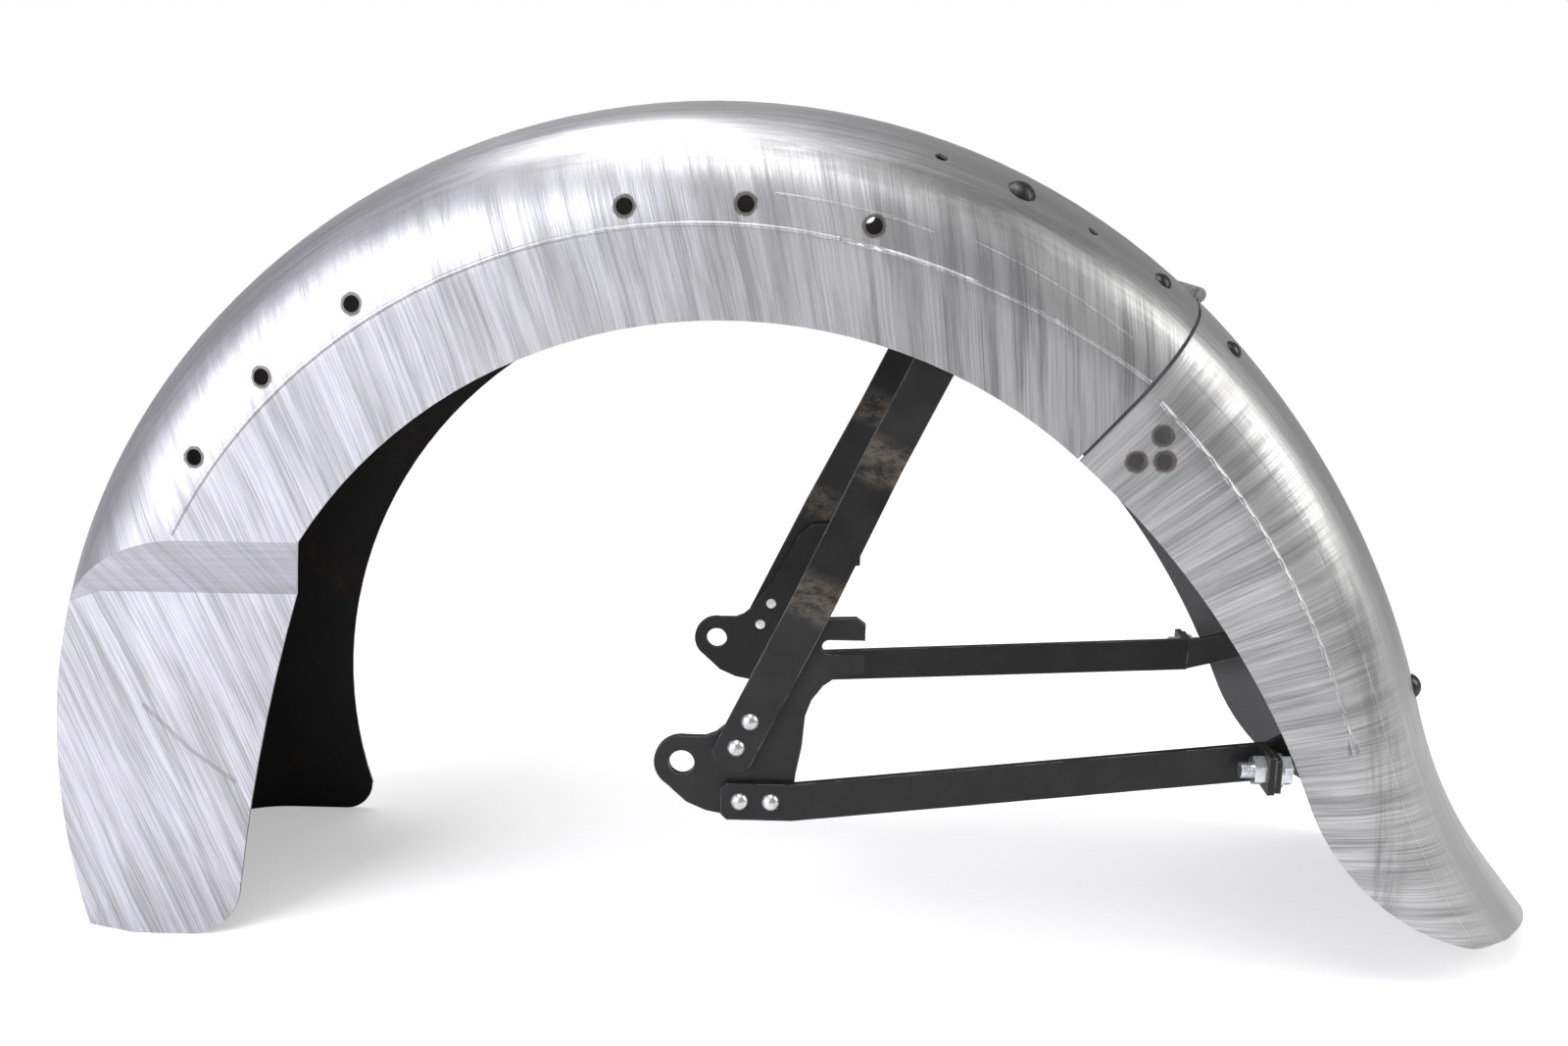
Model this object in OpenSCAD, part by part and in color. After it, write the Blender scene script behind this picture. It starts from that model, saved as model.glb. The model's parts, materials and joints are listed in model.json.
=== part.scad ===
// Rear fender for a motorcycle: a front shell with a chain clearance panel, a tail shell
// that swings up on a hinge across the crown, and the bar stays that carry both of them.
// Millimetres. The origin is midway between the two axle plate holes.
// X runs back to the tail, Y to the right-hand side, Z up. The left side is -Y.

/* [Wheel space] */
// height of the axle holes above the ground
axle_height = 120; // [100:1:140]
// distance of the wheel centre behind the axle holes
wheel_back = 21; // [10:1:30]
// distance of the wheel centre below the axle holes
wheel_drop = 36; // [26:1:46]
// radius of the skirt edge about the wheel centre
skirt_edge_r = 255; // [245:1:265]

/* [Shell section] */
// outer radius of the front shell along its crown
crown_r = 364.3; // [358:0.1:370]
// how far the crown centre lies in front of the wheel centre
crown_ahead = 9.5; // [5:0.5:14]
// how far the crown centre lies below the wheel centre
crown_below = 5.3; // [2:0.1:8]
// radius of the crown across the fender
dome_r = 230; // [200:5:280]
// radius of the shoulders
shoulder_r = 58.7; // [54:0.1:62]
// half the width over the skirts
half_w = 98; // [96:0.5:100]
// thickness of the sheet
sheet = 1.5; // [1.2:0.1:2]
// height of the pressed beads
bead_h = 1; // [0.9:0.1:1.1]
// radius of the bead's round top
bead_r = 1.2; // [1.1:0.05:1.3]
// depth of the lower bead under the crown
bead_depth = 59.3; // [57:0.1:62]

/* [Front shell] */
// angle of the seam, from the tail side up round the crown centre
seam_a = 47.7; // [46:0.1:49]
// gap between the two shells at the seam
seam_gap = 2; // [1.5:0.1:3]
// angle at which the lower bead starts at the front
bead_start_a = 150; // [146:1:151]
// angle behind which the lower bead bends up
bead_bend_a = 78; // [76:1:82]
// radius of the bead behind that angle
bead_back_r = 384; // [380:1:390]
// diameter of the holes along the skirts
side_hole_d = 8; // [6:0.1:9]
// radius of the row of side holes about the crown centre
side_hole_row = 314.5; // [312:0.5:317]
// radius of the far front corner
right_corner_r = 18; // [12:1:26]

/* [Chain clearance panel] */
// how far the panel is set in from the skirt
panel_in = 26; // [22:1:30]
// height of the top of the slanted band above the axle holes
band_top = 108; // [104:1:112]
// height of the slanted band
band_h = 34; // [30:1:38]
// how far ahead of the axle holes the panel's fold stands
bevel_x = 305; // [300:1:310]
// width of the bevel, along the radius
bevel_w = 32; // [28:1:36]
// how far the bevel runs in
bevel_in = 9; // [6:1:12]
// radius of the nearly straight rear edge
panel_edge_r = 1088; // [1060:1:1120]
// radius of the panel's lower corner
panel_corner_r = 32; // [24:1:40]

/* [Tail shell] */
// radius of the crown behind the seam
tail_r = 445; // [440:1:450]
// angle at which the tail begins to flare out
flare_a = 16.3; // [14:0.1:18]
// radius of the flare at the crown
flare_r = 295; // [285:1:305]
// angle through which the flare turns
flare_turn = 22.3696; // [21:0.0001:24]
// length of the straight tip
tip_len = 53.4; // [50:0.1:56]
// radius at the end of the tip
tip_end_r = 25; // [20:1:30]
// half the width of the tip where its straight sides begin
tongue_w = 68; // [64:1:72]
// slant of the tip's straight sides
tip_side_a = 26.7; // [24:0.1:30]
// radius of the tail skirt's edge
tail_edge_r = 459.5; // [455:0.5:464]
// depth of the tail's lower bead under the crown
tail_bead_depth = 53.5; // [51:0.5:56]
// diameter of the three holes behind the seam
cluster_hole_d = 8; // [6:0.1:9]

/* [Hinge] */
// diameter of the hinge barrel
barrel_d = 8; // [7:0.1:9]
// diameter of the hinge pin
pin_d = 4; // [3:0.1:5]
// length of the barrel
barrel_len = 60; // [54:1:66]
// gap between two knuckles
knuckle_gap = 0.4; // [0.3:0.1:0.8]
// thickness of the leaves
leaf_t = 2; // [1.5:0.1:2.5]
// width of the leaves across the fender
leaf_w = 142; // [134:1:150]
// length of each leaf along the crown
leaf_len = 36; // [33:1:40]
// distance of the leaf rivets from the middle
leaf_rivet_y = 62; // [58:1:66]
// distance of the leaf rivets from the seam
leaf_rivet_off = 25; // [22:1:28]

/* [Rivets] */
// diameter of the hinge rivet heads
leaf_rivet_head = 10; // [8:0.1:12]
// diameter of the hinge rivet shanks
leaf_rivet_d = 5; // [4:0.1:6]
// diameter of the stay rivet heads
stay_rivet_head = 9; // [8:0.1:10]
// height of the stay rivet heads
stay_rivet_h = 3; // [2.4:0.1:3.6]
// diameter of the stay rivet shanks
stay_rivet_d = 6; // [5:0.1:6.6]
// clearance round every rivet, pin and bolt
fit_gap = 0.05; // [0.03:0.01:0.08]

/* [Axle plates] */
// diameter of the axle plate hole
axle_hole_d = 12.7; // [12:0.1:14]
// radius of the lobe round that hole
lobe_r = 14; // [12:0.5:15]
// thickness of the axle plates
plate_t = 3.5; // [3:0.1:4]
// distance of the plates' inner faces from the middle
plate_y = 101; // [100.5:0.5:102]
// width of the open slot
slot_w = 7.3; // [6.5:0.1:8]

/* [Upper stay] */
// width of the upper stay bar
upper_w = 20.5; // [19:0.5:22]
// thickness of the stay bars
bar_t = 3.5; // [3:0.1:4]
// angle of the upper stay in the side view
upper_a = 63.6; // [62:0.1:65]
// distance of the upper stay's legs from the middle, outside
upper_half = 88; // [86:0.5:90]
// distance of the two rivets
upper_pitch = 15.4; // [14:0.1:17]
// length of bar below the lower rivet
upper_end = 10.5; // [9:0.5:12]
// distance from the lower rivet to the first bend
upper_bend_1 = 86; // [82:1:90]
// distance from the lower rivet to the second bend
upper_bend_2 = 157; // [150:1:164]
// distance of the crown fasteners from the middle
upper_head_y = 65; // [62:1:68]
// diameter of the crown fasteners' heads
upper_head_d = 14.5; // [12:0.1:16]
// diameter of the crown fasteners' shanks
upper_shank_d = 7.9; // [7:0.1:9]

/* [Lower stays] */
// width of the lower stay bars
lower_w = 19.4; // [18:0.2:21]
// depth of the lower rivets under the axle holes
lower_drop = 19; // [18:0.5:20]
// distance of the two rivets
lower_pitch = 15.6; // [14:0.1:17]
// distance of the bend behind the axle holes
lower_bend = 55; // [53:1:58]
// distance of the clamped flange behind the axle holes
flange_x = 289; // [286:0.5:291]
// distance of the bar's outside from the middle at the flange
flange_in = 88; // [87:0.5:89]
// distance of the flange's end from the middle
flange_out = 107; // [106:0.5:109]

/* [Tail brace] */
// width of the brace
brace_w = 17; // [15:0.5:19]
// thickness of the brace
brace_t = 3; // [2.5:0.1:3.5]
// angle at which the brace rises to the crown
brace_a = 21; // [19:0.5:23]
// distance of the brace's arms from the middle, outside
brace_half = 78; // [76:0.5:80]
// distance of the brace's fasteners from the middle
brace_head_y = 57; // [56:0.5:60]
// diameter of the brace's fastener heads
brace_head_d = 12.5; // [11:0.1:14]
// diameter of the brace's fastener shanks
brace_shank_d = 6.5; // [6:0.1:7.5]

/* [Clamp bolts] */
// distance of the clamp bolts from the middle
clamp_y = 98; // [97:0.5:99]
// diameter of the clamp bolts
clamp_d = 7.9; // [7:0.1:8.5]
// width of the clamp nuts across the flats
clamp_nut_w = 13; // [12:0.1:14]
// thickness of the clamp nuts
clamp_nut_t = 5.8; // [5:0.1:6.5]
// how far the thread stands out in front of the nut
clamp_tip = 6; // [4:0.5:8]
// diameter of the washers
clamp_washer_d = 17.5; // [16:0.1:18]
// thickness of the washers
clamp_washer_t = 1.6; // [1.2:0.1:2]
// thickness of the bolt heads
clamp_head_t = 4.6; // [4:0.1:5]

/* [Hidden] */
$fn = 48;
big = 150;
tip_a = flare_a + flare_turn;
wheel = [wheel_back, -wheel_drop];
crown = [wheel_back - crown_ahead, -wheel_drop - crown_below];
ground = -axle_height;
deep = 150;
seat = 0.7;
leaf_seat = 0.1;
knuckles = 5;
arc_lap = 0.004;
front_end_a = 206;
web_in = 0.3;

// the section's own points, with its crown at x = 0 and the inside at x < 0
tangent_a = asin((half_w - shoulder_r) / (dome_r - shoulder_r));
shoulder_y = half_w - shoulder_r;
shoulder_x = (dome_r - shoulder_r) * cos(tangent_a) - dome_r;
function half_at(depth) = shoulder_y + sqrt(pow(shoulder_r, 2) - pow(-depth - shoulder_x, 2));
function shoulder_tilt(y) = asin((y - shoulder_y) / shoulder_r);
function polar_angle(c, p) = atan2(p[1] - c[1], p[0] - c[0]);
function polar(c, r, a) = [c[0] + r * cos(a), c[1] + r * sin(a)];
function reach(p, c, r, a) =
    let (d = [cos(a), sin(a)], v = p - c, b = v * d)
    -b + sqrt(b * b - v * v + r * r);

// places that several pieces share
hinge_at = polar(crown, crown_r, seam_a);
tail_c = polar(crown, crown_r - tail_r, seam_a);
flare_c = polar(tail_c, tail_r + flare_r, flare_a);
tip_at = polar(flare_c, -flare_r, tip_a);
bead_back_c = polar(crown, crown_r - bead_depth - bead_back_r, bead_bend_a);
front_gap_a = asin(seam_gap / 2 / crown_r);
tail_gap_a = asin(seam_gap / 2 / tail_r);
side_holes = [142.6, 132.8, 122.2, 96.7, 86.4, 75.4];
crown_holes = [[71.7, 6.5], [58.5, 5.5]];
crown_hole_y = 65;
panel_y = half_w - panel_in;
band_bottom = band_top - band_h;
panel_c = [828, -277];
tail_edge_c = [-112.1, -191.3];
flare_edge_c = [437, 31.6];
flare_edge_r = norm(flare_edge_c - tail_edge_c) - tail_edge_r;
cluster = [[228.9, 167], [217.2, 154.5], [230.5, 154.7]];
upper_rivet = [27.6, 9.4];
upper_len = reach(upper_rivet, crown, crown_r, upper_a);
lower_rivet_x = 29.1;
brace_at = [flange_x + bar_t, 0];
brace_len = reach(brace_at, tail_c, tail_r, brace_a);
stay_y = plate_y + plate_t;
stay_out = stay_y + bar_t;

// a flat outline in the side view, drawn as a slab from y0 to y1
module slab(y0, y1) {
    translate([0, y1, 0]) rotate([90, 0, 0]) linear_extrude(y1 - y0) children();
}

// both sides at once, for what the left and the right share
module both() {
    children();
    mirror([0, 1, 0]) children();
}

// a section swept round a centre in the side view, from angle a0 to a1
module round_about(c, a0, a1) {
    translate([c[0], 0, c[1]]) rotate([90, 0, 0]) rotate([0, 0, a0])
        rotate_extrude(angle = a1 - a0, $fn = big) children();
}

// a frame at the crown: x along the tangent to the tail, y across, z out of the crown
module on_crown(c, r, a) {
    p = polar(c, r, a);
    translate([p[0], 0, p[1]]) rotate([0, 90 - a, 0]) children();
}

// The fender's section as a full shape, set in from the outside by t. Each arc stands out
// past its neighbour by arc_lap, so that the two cross cleanly where they would just touch.
module section(t, depth) {
    far = 3 * shoulder_r;
    difference() {
        intersection() {
            translate([-dome_r, 0]) circle(dome_r - t, $fn = 180);
            translate([-depth, -half_w + t]) square([depth + 20, 2 * (half_w - t)]);
        }
        for (s = [0, 1])
            mirror([0, s]) translate([shoulder_x, shoulder_y]) difference() {
                polygon([
                    [0, 0],
                    [far * cos(tangent_a), far * sin(tangent_a)],
                    [far, far],
                    [0, far]
                ]);
                circle(shoulder_r - t + arc_lap, $fn = 96);
            }
    }
}

// the sheet's section
module sheet_section() {
    difference() {
        section(0, deep);
        section(sheet, deep + 1);
    }
}

// a bead along a skirt: an arc of radius r, on the shoulder at a depth under the crown
module bead(c, r, a0, a1, depth, h) {
    lean = acos((-depth - shoulder_x) / shoulder_r);
    in = shoulder_r + h - bead_r;
    away = in * cos(lean) + shoulder_x + depth;
    y = shoulder_y + in * sin(lean);
    round_about(c, a0, a1) translate([r + away, y]) circle(bead_r, $fn = 20);
}

// the front shell's bead behind its bend, leaned in to follow the shoulder
module back_bead() {
    y = half_at(bead_depth) + bead_h - bead_r;
    reach_a = polar_angle(bead_back_c, polar(crown, reach(crown, bead_back_c, bead_back_r, seam_a), seam_a));
    low = half_at(bead_depth) - half_at(crown_r - reach(crown, bead_back_c, bead_back_r, seam_a));
    lean = asin(low / (bead_back_r * sin(bead_bend_a - reach_a)));
    translate([bead_back_c[0], 0, bead_back_c[1]]) rotate([90, 0, 0]) rotate([0, 0, bead_bend_a])
        rotate([lean, 0, 0]) rotate([0, 0, reach_a + 0.3 - bead_bend_a])
            rotate_extrude(angle = bead_bend_a - reach_a - 0.4, $fn = big)
                translate([bead_back_r, y]) circle(bead_r, $fn = 20);
}

// the volume that the chain clearance panel takes out of the front shell's left side
module panel_space(k) {
    run = norm([panel_in, band_h]);
    lean = bevel_in / bevel_w;
    fold = k * (norm([1, lean]) - 1) / lean - bevel_x;
    front = -450;
    intersection() {
        translate([0, 0, -400]) linear_extrude(600)
            polygon([
                [fold, k - panel_y],
                [-100, k - panel_y],
                [-100, -half_w - 60],
                [front, -half_w - 60],
                [front, k - panel_y + (fold - front) * lean]
            ]);
        translate([-400, k * band_h / run, k * panel_in / run]) rotate([90, 0, 90]) linear_extrude(350)
            polygon([
                [-half_w - 2 * panel_in, band_top + 2 * band_h],
                [-panel_y + 2 * panel_in, band_bottom - 2 * band_h],
                [-panel_y + 2 * panel_in, -400],
                [-half_w - 2 * panel_in, -400]
            ]);
    }
}

// what the wheel's opening takes from the right side and the middle
module wheel_opening() {
    z = ground + right_corner_r;
    x = wheel[0] - sqrt(pow(skirt_edge_r + right_corner_r, 2) - pow(z - wheel[1], 2));
    translate(wheel) circle(skirt_edge_r, $fn = 240);
    difference() {
        translate([x, z - 2 * right_corner_r]) square([2 * right_corner_r, 2 * right_corner_r]);
        translate([x, z]) circle(right_corner_r);
    }
}

// what it takes from the left side, where the panel has an edge of its own
module panel_opening() {
    z = ground + panel_corner_r;
    x = panel_c[0] - sqrt(pow(panel_edge_r + panel_corner_r, 2) - pow(z - panel_c[1], 2));
    difference() {
        translate(panel_c) circle(panel_edge_r, $fn = 720);
        difference() {
            translate([-400, band_bottom]) square([1000, 600]);
            translate(wheel) circle(skirt_edge_r, $fn = 240);
        }
    }
    difference() {
        translate([x, z - 2 * panel_corner_r]) square([2 * panel_corner_r, 2 * panel_corner_r]);
        translate([x, z]) circle(panel_corner_r);
    }
}

// the hole for a fastener on the shoulder, square to the sheet
module crown_hole(c, r, a, y, d) {
    on_crown(c, r, a) both()
        translate([0, shoulder_y, shoulder_x]) rotate([-shoulder_tilt(y), 0, 0])
            translate([0, 0, shoulder_r - 30]) cylinder(h = 50, d = d, $fn = 32);
}

// a hole straight through each skirt
module side_hole(p, d) {
    both() translate([p[0], half_w + 10, p[1]]) rotate([90, 0, 0]) cylinder(h = 30, d = d, $fn = 32);
}

// a round headed fastener on the shoulder, both sides: head outside, tail inside
module crown_rivets(c, r, a, y, head_d, head_h, shank_d, grip, tail_d, tail_h) {
    sphere_r = (pow(head_d / 2, 2) + pow(head_h, 2)) / (2 * head_h);
    on_crown(c, r, a) both()
        translate([0, shoulder_y, shoulder_x]) rotate([-shoulder_tilt(y), 0, 0])
            translate([0, 0, shoulder_r + 0.02]) {
                intersection() {
                    translate([0, 0, head_h - sphere_r]) sphere(sphere_r, $fn = 40);
                    cylinder(h = head_h + 1, d = head_d + 1, $fn = 40);
                }
                translate([0, 0, -grip - 0.5]) cylinder(h = grip + 1, d = shank_d, $fn = 32);
                translate([0, 0, -grip - tail_h]) cylinder(h = tail_h, d = tail_d, $fn = 32);
            }
}

// the notch in a shell's edge round the hinge barrel
module barrel_notch(c, r) {
    a = asin((barrel_d / 2 + 1) / r);
    round_about(c, seam_a - a, seam_a + a)
        translate([r - 12, -barrel_len / 2 - 1]) square([24, barrel_len + 2]);
}

// the children's section swept over the crown from angle a, back over the fender if turn < 0
module over_crown(a, turn) {
    translate([crown[0], 0, crown[1]]) rotate([90, 0, 0]) rotate([0, 0, a])
        mirror([0, turn < 0 ? 1 : 0, 0]) rotate_extrude(angle = abs(turn), $fn = big)
            translate([crown_r, 0]) children();
}

// the front shell's sheet before its edges are cut, with the panel pressed in
module front_sheet() {
    intersection() {
        difference() {
            difference() {
                over_crown(90, front_end_a - 90) section(0, deep);
                panel_space(0);
            }
            difference() {
                over_crown(90, front_end_a - 90) section(sheet, deep + 1);
                panel_space(sheet);
            }
        }
        translate([-450, -150, ground]) cube([900, 300, 600]);
    }
    over_crown(90, seam_a + front_gap_a - 90) sheet_section();
}
module front_shell() {
    color("silver") {
        difference() {
            front_sheet();
            slab(-60, 150) wheel_opening();
            slab(-150, -59.9) panel_opening();
            for (a = side_holes)
                side_hole(polar(crown, side_hole_row, a), side_hole_d);
            for (h = crown_holes)
                crown_hole(crown, crown_r, h[0], crown_hole_y, h[1]);
            stay_holes(upper_shank_d + 2 * fit_gap);
            leaf_holes(crown, crown_r, 1);
            barrel_notch(crown, crown_r);
        }
        both() bead(crown, crown_r - bead_depth, bead_bend_a, bead_start_a, bead_depth, bead_h);
        both() back_bead();
    }
}

// the holes for the upper stay's crown fasteners, which stand square to the shell
module stay_holes(d) {
    p = polar(upper_rivet, upper_len, upper_a);
    a = atan2(p[1] - crown[1], p[0] - crown[0]);
    crown_hole(crown, crown_r, a, upper_head_y, d);
}

// the holes for the hinge rivets; side is 1 in front of the seam and -1 behind it
module leaf_holes(c, r, side) {
    a = seam_a + side * leaf_rivet_off / r * 180 / PI;
    crown_hole(c, r, a, leaf_rivet_y, leaf_rivet_d + 2 * fit_gap);
}

module brace_holes(d) {
    p = polar(brace_at, brace_len, brace_a);
    a = atan2(p[1] - tail_c[1], p[0] - tail_c[0]);
    crown_hole(tail_c, tail_r, a, brace_head_y, d);
}

// The tail's three stretches of one section, seen from the centre of the flare, with the
// stretch behind the seam on the left and the start of the flare straight below. Each pair
// meets on a plane through that centre.
module tail_sweep() {
    deep_x = flare_r + deep + 60;
    translate([flare_c[0], 0, flare_c[1]]) rotate([0, 90 - flare_a, 0]) {
        translate([0, 0, -flare_r - tail_r]) rotate([90, 0, 0]) rotate([0, 0, 90])
            rotate_extrude(angle = seam_a - tail_gap_a - flare_a, $fn = big)
                translate([tail_r, 0]) children();
        intersection() {
            rotate([0, -flare_turn, 0]) {
                rotate([90, 0, 0]) rotate([0, 0, 270]) mirror([0, 1, 0])
                    rotate_extrude(angle = flare_turn + 2, $fn = big)
                        translate([flare_r, 0]) mirror([1, 0]) children();
                translate([0, 0, -flare_r]) rotate([0, 90, 0])
                    linear_extrude(tip_len + 20) rotate([0, 0, 180]) children();
            }
            translate([0, -150, -2 * deep_x]) cube([2 * deep_x, 300, 2 * deep_x]);
        }
    }
}

// what is trimmed off beside the tail's tongue, seen square to the straight tip
module tongue_side() {
    bx = tip_len - (tip_end_r + tongue_w * sin(tip_side_a) - tip_end_r * cos(tip_side_a)) / cos(tip_side_a);
    polygon([
        [bx - 60, tongue_w + 62],
        [bx - 60, tongue_w + 47],
        [bx - 32, tongue_w + 33],
        [bx - 13, tongue_w + 18],
        [bx - 6, tongue_w + 11],
        [bx, tongue_w],
        [bx + tongue_w * tan(tip_side_a), 0],
        [bx + tongue_w * tan(tip_side_a) + 60, 0],
        [bx + tongue_w * tan(tip_side_a) + 60, tongue_w + 62]
    ]);
}

// and beyond its round end
module tongue_end() {
    difference() {
        translate([tip_len - tip_end_r / 2, -tip_end_r]) square([tip_end_r, 2 * tip_end_r]);
        translate([tip_len - tip_end_r - 1.5, 0]) circle(tip_end_r + 1.5);
    }
}

module tail_shell() {
    color("gainsboro") {
        difference() {
            tail_sweep() sheet_section();
            translate([tip_at[0], 0, tip_at[1]]) rotate([0, 90 - tip_a, 0]) {
                both() translate([0, 0, -90]) linear_extrude(120) tongue_side();
                translate([0, 0, -90]) linear_extrude(120) tongue_end();
            }
            slab(-150, 150) {
                translate(tail_edge_c) circle(tail_edge_r, $fn = 360);
                difference() {
                    polygon([
                        tail_edge_c,
                        flare_edge_c,
                        [flare_edge_c[0], -400],
                        [tail_edge_c[0], -400]
                    ]);
                    translate(flare_edge_c) circle(flare_edge_r, $fn = 120);
                }
            }
            for (p = cluster)
                side_hole(p, cluster_hole_d);
            brace_holes(brace_shank_d + 2 * fit_gap);
            leaf_holes(tail_c, tail_r, -1);
            barrel_notch(tail_c, tail_r);
        }
        both() bead(tail_c, tail_r - tail_bead_depth, flare_a, seam_a - 1.2, tail_bead_depth, bead_h);
    }
}

// one hinge leaf under the crown, with its knuckles; side is 1 in front and -1 behind
module leaf(c, r, side, ks) {
    out = (barrel_d / 2 + 0.6) / r * 180 / PI;
    far = leaf_len / r * 180 / PI;
    a0 = side > 0 ? seam_a + out : seam_a - far;
    a1 = side > 0 ? seam_a + far : seam_a - out;
    pitch = barrel_len / knuckles;
    difference() {
        union() {
            round_about(c, a0, a1) translate([r, 0]) intersection() {
                difference() {
                    section(sheet + leaf_seat, 90);
                    section(sheet + leaf_seat + leaf_t, 91);
                }
                translate([-60, -leaf_w / 2]) square([70, leaf_w]);
            }
            for (k = ks)
                translate([0, -barrel_len / 2 + k * pitch + knuckle_gap / 2, 0]) {
                    translate([hinge_at[0], pitch - knuckle_gap, hinge_at[1]]) rotate([90, 0, 0])
                        cylinder(h = pitch - knuckle_gap, d = barrel_d, $fn = 40);
                    on_crown(crown, crown_r, seam_a)
                        translate([side > 0 ? -barrel_d / 2 - 0.9 : 0, web_in, -barrel_d / 2 - 0.6])
                            cube([barrel_d / 2 + 0.9, pitch - knuckle_gap - 2 * web_in, barrel_d / 2]);
                }
        }
        translate([hinge_at[0], 0, hinge_at[1]]) rotate([90, 0, 0])
            cylinder(h = 2 * barrel_len, d = pin_d + 2 * fit_gap, center = true, $fn = 40);
        leaf_holes(c, r, side);
    }
}

module hinge_front_leaf() {
    color("dimgray") leaf(crown, crown_r, 1, [0, 2, 4]);
}

module hinge_rear_leaf() {
    color("gray") leaf(tail_c, tail_r, -1, [1, 3]);
}

module hinge_pin() {
    color("lightgray") translate([hinge_at[0], 0, hinge_at[1]]) rotate([90, 0, 0])
        cylinder(h = barrel_len + 2, d = pin_d, center = true, $fn = 40);
}

module leaf_rivets(c, r, side) {
    a = seam_a + side * leaf_rivet_off / r * 180 / PI;
    grip = sheet + leaf_seat + leaf_t + 0.25;
    crown_rivets(c, r, a, leaf_rivet_y, leaf_rivet_head, 2.6, leaf_rivet_d, grip, leaf_rivet_head - 2, 1.5);
}

module hinge_rivets_front() {
    color("slategray") leaf_rivets(crown, crown_r, 1);
}

module hinge_rivets_rear() {
    color("slategray") leaf_rivets(tail_c, tail_r, -1);
}

// the room inside a bar that is bent to fit under the crown, whose outside is at x = 0
module hoop_room(half, t, leave_a, leg) {
    far = 2 * dome_r;
    rs = shoulder_r - sheet - seat;
    rb = (half - shoulder_y - rs * sin(leave_a)) / (1 - sin(leave_a));
    bx = shoulder_x + (rs - rb) * cos(leave_a);
    difference() {
        intersection() {
            translate([-dome_r, 0]) circle(dome_r - sheet - seat - t, $fn = 180);
            translate([-leg, -half + t]) square([leg + 20, 2 * (half - t)]);
        }
        for (s = [0, 1])
            mirror([0, s]) {
                translate([shoulder_x, shoulder_y]) difference() {
                    polygon([
                        [0, 0],
                        [far * cos(tangent_a), far * sin(tangent_a)],
                        [0, far]
                    ]);
                    circle(rs - t + arc_lap, $fn = 96);
                }
                translate([bx, half - rb]) difference() {
                    polygon([[0, 0], [far * cos(leave_a), far * sin(leave_a)], [0, far]]);
                    circle(rb - t + 2 * arc_lap, $fn = 96);
                }
            }
    }
}

module hoop_end(half, t, leave_a, leg) {
    difference() {
        hoop_room(half, 0, leave_a, leg);
        hoop_room(half, t, leave_a, leg + 1);
    }
}

module upper_stay() {
    reach_x = upper_len + upper_end;
    b1 = upper_len - upper_bend_1;
    b2 = upper_len - upper_bend_2;
    p = polar(upper_rivet, upper_len, upper_a);
    chamfer = 4;
    color([0.16, 0.16, 0.17]) difference() {
        intersection() {
            in_bar_plane(p, upper_a) {
                bar_across(upper_w) hoop_end(upper_half, bar_t, 40, b2);
                both() bar_across(upper_w) polygon([
                    [-b2, -upper_half],
                    [-b1, -stay_out],
                    [-reach_x, -stay_out],
                    [-reach_x, -stay_y],
                    [-b1, -stay_y],
                    [-b2, -upper_half + bar_t]
                ]);
            }
            slab(-150, 150) translate(p) rotate([0, 0, upper_a])
                polygon([
                    [-reach_x, -upper_w / 2 + chamfer],
                    [-reach_x + chamfer, -upper_w / 2],
                    [20, -upper_w / 2],
                    [20, upper_w / 2],
                    [-reach_x + chamfer, upper_w / 2],
                    [-reach_x, upper_w / 2 - chamfer]
                ]);
        }
        for (k = [0, 1])
            rivet_bore(polar(upper_rivet, k * upper_pitch, upper_a));
        stay_holes(upper_shank_d + 2 * fit_gap);
    }
}

// a frame at p whose x runs along a bar that rises at angle a in the side view, y across
module in_bar_plane(p, a) {
    translate([p[0], 0, p[1]]) rotate([0, -a, 0]) children();
}

// a bar's outline in the plane of its bends, given the bar's width square to that plane
module bar_across(w) {
    translate([0, 0, -w / 2]) linear_extrude(w) children();
}

module rivet_bore(p) {
    translate([p[0], 0, p[1]]) rotate([90, 0, 0])
        cylinder(h = 300, d = stay_rivet_d + 2 * fit_gap, center = true, $fn = 32);
}

module upper_stay_rivets() {
    p = polar(upper_rivet, upper_len, upper_a);
    a = atan2(p[1] - crown[1], p[0] - crown[0]);
    color([0.1, 0.1, 0.1])
        crown_rivets(crown, crown_r, a, upper_head_y, upper_head_d, 4, upper_shank_d, sheet + seat + bar_t + 0.8, 12, 2.5);
}

// the plate's arm, without its lobe
module plate_arm() {
    difference() {
        polygon([
            [-2, 13.8],
            [12, 13.8],
            [17, 15.8],
            [22, 20],
            [34, 36],
            [52, 68],
            [60, 75],
            [71, 76],
            [86, 76.5],
            [90.5, 73],
            [90, 49],
            [77.5, 47],
            [70, 41.5],
            [64.5, 34],
            [61.5, 26],
            [60, 10],
            [57, -5],
            [54, -lower_drop - lower_w / 2 + 1],
            [24, -lower_drop - lower_w / 2 + 1],
            [12, -25.5],
            [2, -21],
            [-8, -11.5]
        ]);
        translate([73, 61.5]) circle(d = slot_w, $fn = 32);
        translate([73, 61.5 - slot_w / 2]) square([30, slot_w]);
    }
}

module axle_plate() {
    difference() {
        union() {
            slab(-plate_y - plate_t, -plate_y) plate_arm();
            slab(-plate_y - plate_t, -plate_y) circle(lobe_r, $fn = 64);
        }
        slab(-plate_y - plate_t - 1, -plate_y + 1) circle(d = axle_hole_d, $fn = 64);
        for (k = [0, 1]) {
            rivet_bore(polar(upper_rivet, k * upper_pitch, upper_a));
            rivet_bore([lower_rivet_x + k * lower_pitch, -lower_drop]);
        }
    }
}

module axle_plate_left() {
    color([0.2, 0.2, 0.21]) axle_plate();
}

module axle_plate_right() {
    color([0.2, 0.2, 0.21]) mirror([0, 1, 0]) axle_plate();
}

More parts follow.
